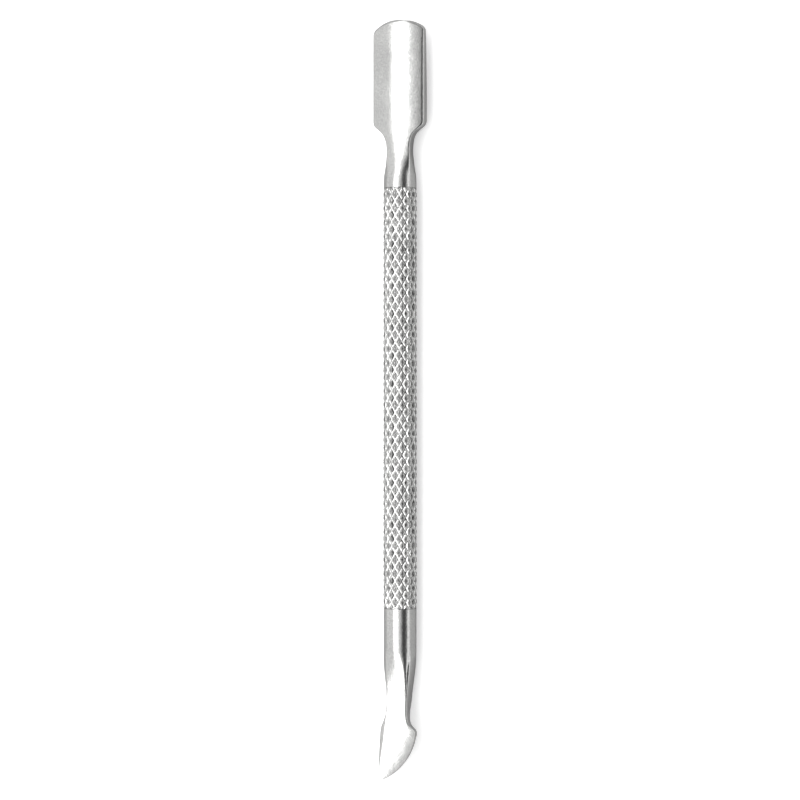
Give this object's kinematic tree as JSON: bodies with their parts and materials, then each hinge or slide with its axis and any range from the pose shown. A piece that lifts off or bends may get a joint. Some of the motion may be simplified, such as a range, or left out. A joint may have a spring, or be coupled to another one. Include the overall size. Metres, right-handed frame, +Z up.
{
  "type": "cuticle pusher",
  "caption": "Double-ended steel cuticle tool with a knurled round handle, a crowned spatula at one end and a small angled scraper blade at the other.",
  "frame": {"origin": "under the middle of the tool, on the surface that it lies on", "axes": "+X along the tool towards the spatula, +Z up out of the crowned face of the spatula, -Y towards the scraper's cutting corner"},
  "size_m": [0.127, 0.009, 0.0056],
  "materials": {
    "knurled_steel": "rolled diamond knurl, satin stainless steel",
    "satin_steel": "fine satin polish with ground edges, stainless steel"
  },
  "bodies": {
    "root": {"handle": "knurled_steel", "pusher_tip": "satin_steel", "scraper_tip": "satin_steel"}
  },
  "joints": []
}
